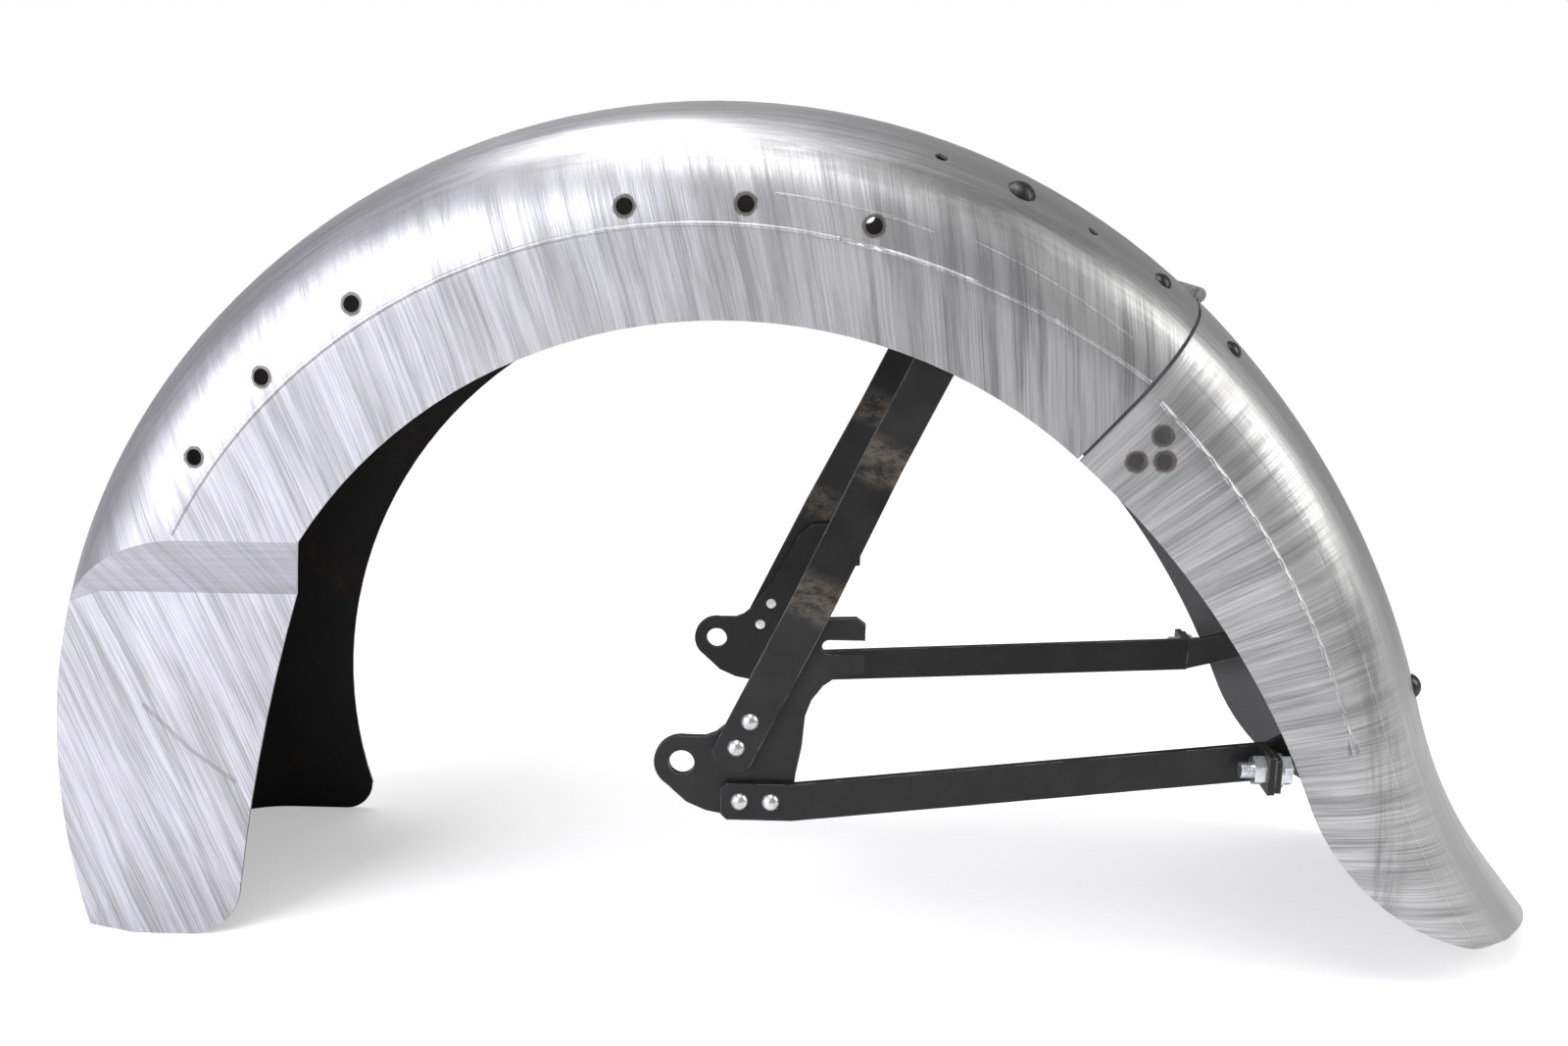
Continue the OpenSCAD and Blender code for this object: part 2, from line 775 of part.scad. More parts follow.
// a lower stay: its side view crossed with its plan view
module lower_stay() {
    x0 = lower_rivet_x - 9.5;
    x1 = flange_x + bar_t;
    rise = lower_drop / (flange_x - lower_bend);
    chamfer = 3;
    h = lower_w / 2;
    difference() {
        intersection() {
            slab(-120, -60) polygon([
                [x0, -lower_drop - h + chamfer],
                [x0 + chamfer, -lower_drop - h],
                [lower_bend, -lower_drop - h],
                [x1 + 1, -h + rise * (bar_t + 1)],
                [x1 + 1, h + rise * (bar_t + 1)],
                [lower_bend, -lower_drop + h],
                [x0 + chamfer, -lower_drop + h],
                [x0, -lower_drop + h - chamfer]
            ]);
            translate([0, 0, -50]) linear_extrude(100) polygon([
                [x0 - 1, -stay_y],
                [lower_bend, -stay_y],
                [x1, -flange_in + bar_t],
                [x1, -flange_out],
                [flange_x, -flange_out],
                [flange_x, -flange_in],
                [lower_bend, -stay_out],
                [x0 - 1, -stay_out]
            ]);
        }
        for (k = [0, 1])
            rivet_bore([lower_rivet_x + k * lower_pitch, -lower_drop]);
        clamp_slot();
    }
}

// the upright slot in the stay's flange, which lets the bolt lift as the tail swings
module clamp_slot() {
    w = clamp_d + 0.6;
    lift = 2.6;
    for (z = [0, lift])
        translate([flange_x - 1, -clamp_y, z]) rotate([0, 90, 0]) cylinder(h = bar_t + 2, d = w, $fn = 32);
    translate([flange_x - 1, -clamp_y - w / 2, 0]) cube([bar_t + 2, w, lift]);
}

module lower_stay_left() {
    color([0.15, 0.15, 0.16]) lower_stay();
}

module lower_stay_right() {
    color([0.15, 0.15, 0.16]) mirror([0, 1, 0]) lower_stay();
}

// a rivet with a round head outside the bar and a flush tail inside the plate
module stay_rivet(p) {
    r = (pow(stay_rivet_head / 2, 2) + pow(stay_rivet_h, 2)) / (2 * stay_rivet_h);
    translate([p[0], -stay_out, p[1]]) rotate([90, 0, 0]) {
        intersection() {
            translate([0, 0, stay_rivet_h - r]) sphere(r, $fn = 40);
            cylinder(h = stay_rivet_h + 1, d = stay_rivet_head + 1, $fn = 40);
        }
        translate([0, 0, -bar_t - plate_t]) cylinder(h = bar_t + plate_t + 0.5, d = stay_rivet_d, $fn = 32);
    }
}

module upper_rivet_pair() {
    color("whitesmoke") for (k = [0, 1])
        stay_rivet(polar(upper_rivet, k * upper_pitch, upper_a));
}

module lower_rivet_pair() {
    color("whitesmoke") for (k = [0, 1])
        stay_rivet([lower_rivet_x + k * lower_pitch, -lower_drop]);
}

module upper_rivets_left() {
    upper_rivet_pair();
}

module upper_rivets_right() {
    mirror([0, 1, 0]) upper_rivet_pair();
}

module lower_rivets_left() {
    lower_rivet_pair();
}

module lower_rivets_right() {
    mirror([0, 1, 0]) lower_rivet_pair();
}

module tail_brace() {
    p = polar(brace_at, brace_len, brace_a);
    arm_x = brace_len - 30;
    color([0.12, 0.12, 0.13]) difference() {
        union() {
            intersection() {
                in_bar_plane(p, brace_a) {
                    bar_across(brace_w) hoop_end(brace_half, brace_t, 25, arm_x);
                    both() bar_across(brace_w) polygon([
                        [-arm_x, -brace_half],
                        [-brace_len - 6, -flange_in - 1],
                        [-brace_len - 6, -flange_in - 1 + brace_t],
                        [-arm_x, -brace_half + brace_t]
                    ]);
                }
                translate([brace_at[0], -150, -100]) cube([200, 300, 300]);
            }
            both() translate([brace_at[0], -flange_out, -brace_w / 2])
                cube([brace_t, flange_out - flange_in + brace_t, brace_w]);
        }
        brace_holes(brace_shank_d + 2 * fit_gap);
        both() translate([brace_at[0] - 1, -clamp_y, 0]) rotate([0, 90, 0])
            cylinder(h = brace_t + 2, d = clamp_d + 2 * fit_gap, $fn = 32);
    }
}

module tail_brace_rivets() {
    p = polar(brace_at, brace_len, brace_a);
    a = atan2(p[1] - tail_c[1], p[0] - tail_c[0]);
    color([0.1, 0.1, 0.1])
        crown_rivets(tail_c, tail_r, a, brace_head_y, brace_head_d, 3.6, brace_shank_d, sheet + seat + brace_t + 0.9, 10, 2);
}

// the clamp at one flange pair: the bolt comes from behind and the nut is in front
module clamp_bolt() {
    x0 = flange_x - clamp_nut_t - clamp_tip;
    x1 = brace_at[0] + brace_t + clamp_washer_t;
    translate([x0, -clamp_y, 0]) rotate([0, 90, 0]) {
        cylinder(h = x1 - x0 + 0.5, d = clamp_d, $fn = 40);
        translate([0, 0, x1 - x0]) cylinder(h = clamp_head_t, d = clamp_nut_w / cos(30), $fn = 6);
    }
}

module clamp_washer() {
    translate([brace_at[0] + brace_t, -clamp_y, 0]) rotate([0, 90, 0]) difference() {
        cylinder(h = clamp_washer_t, d = clamp_washer_d, $fn = 48);
        translate([0, 0, -1]) cylinder(h = clamp_washer_t + 2, d = clamp_d + 2 * fit_gap, $fn = 40);
    }
}

module clamp_nut() {
    translate([flange_x - clamp_nut_t, -clamp_y, 0]) rotate([0, 90, 0]) difference() {
        cylinder(h = clamp_nut_t, d = clamp_nut_w / cos(30), $fn = 6);
        translate([0, 0, -1]) cylinder(h = clamp_nut_t + 2, d = clamp_d + 2 * fit_gap, $fn = 40);
    }
}

module clamp_bolt_left() {
    color("lightsteelblue") clamp_bolt();
}

module clamp_bolt_right() {
    color("lightsteelblue") mirror([0, 1, 0]) clamp_bolt();
}

module clamp_washers() {
    color("gainsboro") both() clamp_washer();
}

module clamp_nut_left() {
    color("lightsteelblue") clamp_nut();
}

module clamp_nut_right() {
    color("lightsteelblue") mirror([0, 1, 0]) clamp_nut();
}

front_shell();
tail_shell();
hinge_front_leaf();
hinge_rear_leaf();
hinge_pin();
hinge_rivets_front();
hinge_rivets_rear();
upper_stay();
upper_stay_rivets();
axle_plate_left();
axle_plate_right();
lower_stay_left();
lower_stay_right();
upper_rivets_left();
upper_rivets_right();
lower_rivets_left();
lower_rivets_right();
tail_brace();
tail_brace_rivets();
clamp_bolt_left();
clamp_bolt_right();
clamp_washers();
clamp_nut_left();
clamp_nut_right();
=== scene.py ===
"""Motorcycle rear fender: the finishes, the small rolled and cut forms, and the studio.

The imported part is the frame: one millimetre of the part is 0.001 here, the origin is midway
between the axle holes, +X runs to the tail, +Y across and +Z up. The script gives every node
of the part a procedural finish, adds the crease lines and threads that the part leaves out,
and sets up the camera, the lights and the floor.
"""

import json
import logging
import math
from dataclasses import dataclass
from enum import Enum

import bpy
from mathutils import Matrix, Vector

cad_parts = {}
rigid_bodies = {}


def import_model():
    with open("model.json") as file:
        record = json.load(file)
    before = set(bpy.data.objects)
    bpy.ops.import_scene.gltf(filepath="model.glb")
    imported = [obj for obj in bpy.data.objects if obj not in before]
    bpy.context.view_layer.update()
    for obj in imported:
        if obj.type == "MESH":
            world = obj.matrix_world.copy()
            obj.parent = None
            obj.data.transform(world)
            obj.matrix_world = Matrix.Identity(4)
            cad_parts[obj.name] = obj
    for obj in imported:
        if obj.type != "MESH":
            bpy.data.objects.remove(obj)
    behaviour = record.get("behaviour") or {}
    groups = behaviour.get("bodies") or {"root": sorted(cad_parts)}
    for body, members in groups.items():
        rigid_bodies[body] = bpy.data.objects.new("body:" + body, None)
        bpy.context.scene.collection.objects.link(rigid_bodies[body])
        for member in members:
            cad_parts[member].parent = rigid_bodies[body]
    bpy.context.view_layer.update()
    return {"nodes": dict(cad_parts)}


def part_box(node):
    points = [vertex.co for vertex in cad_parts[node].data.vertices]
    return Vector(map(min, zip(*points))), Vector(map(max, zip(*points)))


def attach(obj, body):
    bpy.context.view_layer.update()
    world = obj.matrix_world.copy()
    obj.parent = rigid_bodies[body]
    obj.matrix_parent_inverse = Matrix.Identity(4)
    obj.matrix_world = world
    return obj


logging.basicConfig(level=logging.INFO, format="%(message)s")
LOG = logging.getLogger("fender")

MM = 0.001
CROWN_CENTRE = (11.5 * MM, -41.3 * MM)
CROWN_R = 364.3 * MM
TAIL_CENTRE = (-42.81 * MM, -100.99 * MM)
TAIL_R = 445.0 * MM
FLARE_CENTRE = (667.45 * MM, 106.7 * MM)
FLARE_R = 295.0 * MM
FLARE_A = 16.3
SHOULDER_R = 58.7 * MM
HALF_W = 98.0 * MM
SHOULDER_Y = HALF_W - SHOULDER_R
SHOULDER_DEPTH = 63.3 * MM
SEAM_A = 47.7
# a circle inside the shells, from which the outer side of the sheet faces away
CORE_R = 270.0 * MM
FLOOR_Z = -120.0 * MM
# the foot of the upper stay and its angle in the side view
STAY_FOOT = (27.6 * MM, 9.4 * MM)
STAY_A = 63.6


class Slot(Enum):
    """The record's material slots."""

    SHEET = "sheet_steel"
    BLACK = "black_steel"
    HINGE = "hinge_steel"
    RIVET = "rivet_steel"
    ZINC = "zinc_steel"


class Nodes:
    """A short hand for one shader node tree."""

    def __init__(self, tree: bpy.types.NodeTree) -> None:
        """Wraps a tree.

        Args:
            tree: the node tree that the nodes go in.
        """
        self.tree = tree

    def add(self, kind: str, **settings: object) -> bpy.types.Node:
        """Adds a node.

        Args:
            kind: the node's type name.
            **settings: attributes to set on it.

        Returns:
            The new node.
        """
        node = self.tree.nodes.new(kind)
        for name, value in settings.items():
            setattr(node, name, value)
        return node

    def plug(self, socket: bpy.types.NodeSocket, value: object) -> None:
        """Links a socket to another, or sets it to a constant.

        Args:
            socket: the input socket.
            value: an output socket, a number or a tuple.
        """
        if isinstance(value, bpy.types.NodeSocket):
            self.tree.links.new(value, socket)
        elif value is not None:
            socket.default_value = value

    def math(self, operation: str, a: object, b: object = None, c: object = None,
             clamp: bool = False) -> bpy.types.NodeSocket:
        """Adds a Math node.

        Args:
            operation: the node's operation.
            a: the first value.
            b: the second value.
            c: the third value.
            clamp: keeps the result between 0 and 1.

        Returns:
            The result's socket.
        """
        node = self.add("ShaderNodeMath", operation=operation, use_clamp=clamp)
        for socket, value in zip(node.inputs, (a, b, c)):
            self.plug(socket, value)
        return node.outputs[0]

    def vector(self, operation: str, a: object, b: object = None,
               out: int = 0) -> bpy.types.NodeSocket:
        """Adds a Vector Math node.

        Args:
            operation: the node's operation.
            a: the first vector.
            b: the second vector.
            out: 0 for the vector result, 1 for the value.

        Returns:
            The result's socket.
        """
        node = self.add("ShaderNodeVectorMath", operation=operation)
        self.plug(node.inputs[0], a)
        self.plug(node.inputs[1], b)
        return node.outputs[out]

    def combine(self, x: object, y: object, z: object) -> bpy.types.NodeSocket:
        """Adds a Combine XYZ node.

        Args:
            x: the first part.
            y: the second part.
            z: the third part.

        Returns:
            The vector's socket.
        """
        node = self.add("ShaderNodeCombineXYZ")
        for socket, value in zip(node.inputs, (x, y, z)):
            self.plug(socket, value)
        return node.outputs[0]

    def split(self, vector: object) -> list[bpy.types.NodeSocket]:
        """Adds a Separate XYZ node.

        Args:
            vector: the vector to take apart.

        Returns:
            The three parts' sockets.
        """
        node = self.add("ShaderNodeSeparateXYZ")
        self.plug(node.inputs[0], vector)
        return list(node.outputs)

    def place(self) -> bpy.types.NodeSocket:
        """Adds the object coordinates.

        Returns:
            The coordinates' socket.
        """
        return self.add("ShaderNodeTexCoord").outputs["Object"]

    def reach(self, a: object, b: object) -> bpy.types.NodeSocket:
        """Finds the length of a step with two parts at right angles.

        Args:
            a: the first part.
            b: the second part.

        Returns:
            The length's socket.
        """
        return self.math("SQRT", self.math("ADD", self.math("MULTIPLY", a, a),
                                           self.math("MULTIPLY", b, b)))

    def ramp(self, value: object, low: float, high: float, to_low: float = 0.0,
             to_high: float = 1.0) -> bpy.types.NodeSocket:
        """Maps a value smoothly from one range to another.

        Args:
            value: the value.
            low: where the smooth step starts.
            high: where it ends.
            to_low: the result at the start.
            to_high: the result at the end.

        Returns:
            The result's socket.
        """
        node = self.add("ShaderNodeMapRange", interpolation_type="SMOOTHSTEP")
        for socket, given in zip(node.inputs, (value, low, high, to_low, to_high)):
            self.plug(socket, given)
        return node.outputs[0]

    def noise(self, vector: object, scale: float, detail: float = 3.0,
              roughness: float = 0.55) -> bpy.types.NodeSocket:
        """Adds a Noise Texture.

        Args:
            vector: where to look it up.
            scale: its scale.
            detail: its octaves.
            roughness: the octaves' weight.

        Returns:
            The value's socket.
        """
        node = self.add("ShaderNodeTexNoise", noise_dimensions="3D")
        self.plug(node.inputs["Vector"], vector)
        self.plug(node.inputs["Scale"], scale)
        self.plug(node.inputs["Detail"], detail)
        self.plug(node.inputs["Roughness"], roughness)
        return node.outputs[0]

    def mix(self, factor: object, a: object, b: object) -> bpy.types.NodeSocket:
        """Mixes two colours.

        Args:
            factor: how much of the second.
            a: the first colour.
            b: the second colour.

        Returns:
            The colour's socket.
        """
        node = self.add("ShaderNodeMix", data_type="RGBA", clamp_factor=True)
        self.plug(node.inputs[0], factor)
        self.plug(node.inputs[6], a)
        self.plug(node.inputs[7], b)
        return node.outputs[2]

    def group(self, tree: bpy.types.NodeTree, **values: object) -> bpy.types.Node:
        """Adds a node group.

        Args:
            tree: the group's tree.
            **values: its inputs by name, with underscores for spaces.

        Returns:
            The group node.
        """
        node = self.add("ShaderNodeGroup", node_tree=tree)
        for name, value in values.items():
            self.plug(node.inputs[name.replace("_", " ")], value)
        return node


class Effect:
    """One shader node group that several finishes share."""

    def __init__(self, name: str, inputs: dict[str, float], outputs: tuple[str, ...]) -> None:
        """Makes an empty group with its sockets.

        Args:
            name: the group's name.
            inputs: each number input and its usual value; a name that starts with
                "Vector" is a vector.
            outputs: the number outputs.
        """
        self.tree = bpy.data.node_groups.new(name, "ShaderNodeTree")
        for key, value in inputs.items():
            kind = "NodeSocketVector" if key.startswith("Vector") else "NodeSocketFloat"
            socket = self.tree.interface.new_socket(key, in_out="INPUT", socket_type=kind)
            if kind == "NodeSocketFloat":
                socket.default_value = value
        for key in outputs:
            self.tree.interface.new_socket(key, in_out="OUTPUT", socket_type="NodeSocketFloat")
        self.nodes = Nodes(self.tree)
        self.given = self.nodes.add("NodeGroupInput").outputs
        self.result = self.nodes.add("NodeGroupOutput").inputs


def sheet_map() -> bpy.types.NodeTree:
    """Tells where on the bent sheet a point lies.

    Returns:
        A group with Inside (1 on the hidden side), Skirt (1 on the flat sides), Angle
        (degrees round the crown's centre), Radius and Arc (metres along the crown).
    """
    e = Effect("sheet_map", {}, ("Inside", "Skirt", "Angle", "Radius", "Arc"))
    n = e.nodes
    coords = n.add("ShaderNodeTexCoord")
    x, y, z = n.split(coords.outputs["Object"])
    dx = n.math("SUBTRACT", x, CROWN_CENTRE[0])
    dz = n.math("SUBTRACT", z, CROWN_CENTRE[1])
    radius = n.reach(dx, dz)
    core = n.math("SUBTRACT", 1.0, n.math("DIVIDE", CORE_R, radius))
    out = n.combine(n.math("MULTIPLY", dx, core), y, n.math("MULTIPLY", dz, core))
    facing = n.vector("DOT_PRODUCT", coords.outputs["Normal"], out, out=1)
    n.plug(e.result["Inside"], n.math("LESS_THAN", facing, 0.0))
    side = n.math("ABSOLUTE", n.split(coords.outputs["Normal"])[1])
    n.plug(e.result["Skirt"], n.ramp(side, 0.55, 0.93))
    angle = n.math("ARCTAN2", dz, dx)
    n.plug(e.result["Angle"], n.math("MULTIPLY", angle, 180 / math.pi))
    n.plug(e.result["Radius"], radius)
    n.plug(e.result["Arc"], n.math("MULTIPLY", angle, CROWN_R))
    return e.tree


def grind_lines() -> bpy.types.NodeTree:
    """Long thin scratches that a grinder leaves.

    Returns:
        A group from Across (metres over the scratches), Along (metres down them), Y, Width,
        Length and Skew to Lines (fine), Strokes (broad) and Height.
    """
    e = Effect("grind_lines", {"Across": 0, "Along": 0, "Y": 0, "Width": 0.001,
                               "Length": 0.05, "Skew": 0}, ("Lines", "Strokes", "Height"))
    n = e.nodes
    g = e.given
    lean = n.math("SUBTRACT", g["Across"], n.math("MULTIPLY", g["Along"], g["Skew"]))
    wander = n.noise(n.combine(g["Across"], g["Along"], g["Y"]), 14.0, 2.0)
    lean = n.math("ADD", lean, n.math("MULTIPLY", wander, 0.004))
    fine = n.combine(n.math("DIVIDE", lean, g["Width"]), n.math("DIVIDE", g["Along"], g["Length"]),
                     n.math("MULTIPLY", g["Y"], 4.0))
    lines = n.noise(fine, 1.0, 4.0, 0.65)
    broad = n.noise(n.vector("MULTIPLY", fine, (0.13, 0.7, 1.0)), 1.0, 3.0, 0.6)
    n.plug(e.result["Lines"], n.ramp(lines, 0.38, 0.62))
    n.plug(e.result["Strokes"], n.ramp(broad, 0.38, 0.62))
    n.plug(e.result["Height"], lines)
    return e.tree


def edge_wear() -> bpy.types.NodeTree:
    """Finds the edges that handling has worn.

    Returns:
        A group from Radius to Wear, which is 1 on a worn edge.
    """
    e = Effect("edge_wear", {"Radius": 0.001}, ("Wear",))
    n = e.nodes
    soft = n.add("ShaderNodeBevel", samples=4)
    n.plug(soft.inputs["Radius"], e.given["Radius"])
    hard = n.add("ShaderNodeNewGeometry")
    turn = n.vector("DOT_PRODUCT", soft.outputs[0], hard.outputs["Normal"], out=1)
    edge = n.ramp(turn, 0.99, 0.90)
    patch = n.noise(n.place(), 60.0, 5.0, 0.7)
    n.plug(e.result["Wear"], n.math("MULTIPLY", edge, n.ramp(patch, 0.42, 0.6)))
    return e.tree


def stain() -> bpy.types.NodeTree:
    """A dark ring round a drilled hole.

    Returns:
        A group from Vector (the hole's place), Size and Ripple to Ring.
    """
    e = Effect("stain", {"Vector": 0, "Size": 0.006, "Ripple": 0}, ("Ring",))
    n = e.nodes
    x, _, z = n.split(n.vector("SUBTRACT", n.place(), e.given["Vector"]))
    share = n.math("SUBTRACT", n.math("DIVIDE", n.reach(x, z), e.given["Size"]),
                   e.given["Ripple"])
    n.plug(e.result["Ring"], n.ramp(share, 0.95, 0.70))
    return e.tree


def line_mark() -> bpy.types.NodeTree:
    """A mark along a straight line in the side view.

    Returns:
        A group from X1, Z1, X2, Z2 and Width to Mark.
    """
    e = Effect("line_mark", {"X1": 0, "Z1": 0, "X2": 1, "Z2": 0, "Width": 0.002}, ("Mark",))
    n = e.nodes
    g = e.given
    x, _, z = n.split(n.place())
    ax, az = n.math("SUBTRACT", x, g["X1"]), n.math("SUBTRACT", z, g["Z1"])
    bx, bz = n.math("SUBTRACT", g["X2"], g["X1"]), n.math("SUBTRACT", g["Z2"], g["Z1"])
    dot = n.math("ADD", n.math("MULTIPLY", ax, bx), n.math("MULTIPLY", az, bz))
    size = n.math("ADD", n.math("MULTIPLY", bx, bx), n.math("MULTIPLY", bz, bz))
    share = n.math("DIVIDE", dot, size, clamp=True)
    cx = n.math("SUBTRACT", ax, n.math("MULTIPLY", bx, share))
    cz = n.math("SUBTRACT", az, n.math("MULTIPLY", bz, share))
    n.plug(e.result["Mark"], n.ramp(n.math("DIVIDE", n.reach(cx, cz), g["Width"]), 1.0, 0.3))
    return e.tree


class Effects:
    """The shared shader groups, made once."""

    def __init__(self) -> None:
        """Builds every group."""
        self.sheet_map = sheet_map()
        self.grind = grind_lines()
        self.wear = edge_wear()
        self.stain = stain()
        self.line = line_mark()


class Finish:
    """One material, with its Principled shader and tree."""

    def __init__(self, name: str, slot: Slot) -> None:
        """Makes the material.

        Args:
            name: its name.
            slot: the record's slot that it stands for.
        """
        self.slot = slot
        self.material = bpy.data.materials.new(name)
        self.material.use_nodes = True
        self.n = Nodes(self.material.node_tree)
        self.shader = self.material.node_tree.nodes["Principled BSDF"]

    def set(self, **values: object) -> None:
        """Links or sets inputs of the Principled shader.

        Args:
            **values: inputs by name, with underscores for spaces.
        """
        for name, value in values.items():
            self.n.plug(self.shader.inputs[name.replace("_", " ")], value)

    def bump(self, height: object, distance: float, strength: float = 1.0) -> None:
        """Gives the shader a bump.

        Args:
            height: the height's socket.
            distance: how far it reaches, in metres.
            strength: its strength.
        """
        node = self.n.add("ShaderNodeBump")
        self.n.plug(node.inputs["Height"], height)
        self.n.plug(node.inputs["Distance"], distance)
        self.n.plug(node.inputs["Strength"], strength)
        self.set(Normal=node.outputs[0])


@dataclass(frozen=True)
class SheetLook:
    """How the bare sheet looks."""

    bright: tuple = (0.66, 0.665, 0.67, 1)
    dark: tuple = (0.27, 0.27, 0.275, 1)
    cool: tuple = (0.62, 0.61, 0.71, 1)
    stain: tuple = (0.07, 0.055, 0.045, 1)
    # the two inside colours below are painted shade: the hidden inner side of each shell is
    # coloured dark where only shade falls
    inside_shade_black: tuple = (0.030, 0.028, 0.027, 1)
    inside_shade_grey: tuple = (0.16, 0.16, 0.165, 1)
    crown_rough: float = 0.30
    skirt_rough: float = 0.37
    line_width: float = 0.0010
    line_length: float = 0.070
    spot: float = 0.0056


# the side holes of the front shell, on one circle, and the tail's three, in millimetres
HOLE_R = 314.5
HOLE_ANGLES = (142.6, 132.8, 122.2, 96.7, 86.4, 75.4)
CLUSTER = ((228.9, 167.0), (217.2, 154.5), (230.5, 154.7))
# the marks on the chain panel, in metres: creases from one point to another, and dents with
# their widths, each of which runs on by DENT_RUN
PANEL_CREASE = ((-0.2875, 0.012, -0.2640, -0.0130), (-0.2640, -0.0130, -0.2420, -0.0300))
CREASE_WIDTH = 0.0016
DENTS = ((-0.268, 0.062, 0.010), (-0.258, 0.040, 0.012), (-0.249, 0.024, 0.009))
DENT_RUN = 0.004


def hole_places() -> list[tuple[float, float, float]]:
    """Works out where the side holes are.

    Returns:
        Each hole's place. Y is 0, because the stains are the same on both skirts.
    """
    places = []
    for angle in HOLE_ANGLES:
        a = math.radians(angle)
        places.append((CROWN_CENTRE[0] + HOLE_R * MM * math.cos(a), 0.0,
                       CROWN_CENTRE[1] + HOLE_R * MM * math.sin(a)))
    places += [(x * MM, 0.0, z * MM) for x, z in CLUSTER]
    return places


def shoulder_smear(n: Nodes, place: bpy.types.NodeOutputs,
                   y: bpy.types.NodeSocket) -> bpy.types.NodeSocket:
    """A dull smear along the shoulder, from the top of the arch to the tail.

    Args:
        n: the finish's nodes.
        place: the outputs of the sheet's map.
        y: the place across.

    Returns:
        The smear's share.
    """
    band = n.math("MULTIPLY", n.ramp(place["Radius"], 0.325, 0.340),
                  n.ramp(place["Radius"], 0.358, 0.342))
    band = n.math("MULTIPLY", band, n.ramp(place["Angle"], 112.0, 96.0))
    streaks = n.combine(n.math("MULTIPLY", place["Arc"], 6.0),
                        n.math("MULTIPLY", place["Radius"], 60.0), y)
    return n.math("MULTIPLY", band, n.ramp(n.noise(streaks, 1.0, 5.0, 0.7), 0.45, 0.62))


def hole_stains(n: Nodes, effects: Effects, look: SheetLook, place: bpy.types.NodeOutputs,
                coords: bpy.types.NodeSocket) -> bpy.types.NodeSocket:
    """The dark rings round the side holes.

    Args:
        n: the finish's nodes.
        effects: the shared groups.
        look: the rings' size.
        place: the outputs of the sheet's map.
        coords: the object coordinates.

    Returns:
        The rings' share.
    """
    spots = 0.0
    ripple = n.math("MULTIPLY", n.noise(coords, 300.0, 3.0), 0.35)
    for hole in hole_places():
        ring = n.group(effects.stain, Vector=hole, Size=look.spot, Ripple=ripple).outputs[0]
        spots = n.math("MAXIMUM", spots, ring)
    return n.math("MULTIPLY", spots, n.ramp(place["Skirt"], 0.2, 0.5))


def panel_marks(n: Nodes, effects: Effects, y: bpy.types.NodeSocket, operation: str,
                lines: tuple[tuple[float, ...], ...]) -> bpy.types.NodeSocket:
    """Marks on the near side only.

    Args:
        n: the finish's nodes.
        effects: the shared groups.
        y: the place across.
        operation: how one mark goes over another.
        lines: each mark's two ends in the side view, and its width.

    Returns:
        The marks' share.
    """
    share = 0.0
    for x1, z1, x2, z2, width in lines:
        mark = n.group(effects.line, X1=x1, Z1=z1, X2=x2, Z2=z2, Width=width).outputs[0]
        share = n.math(operation, share, mark)
    return n.math("MULTIPLY", share, n.math("LESS_THAN", y, 0.0))


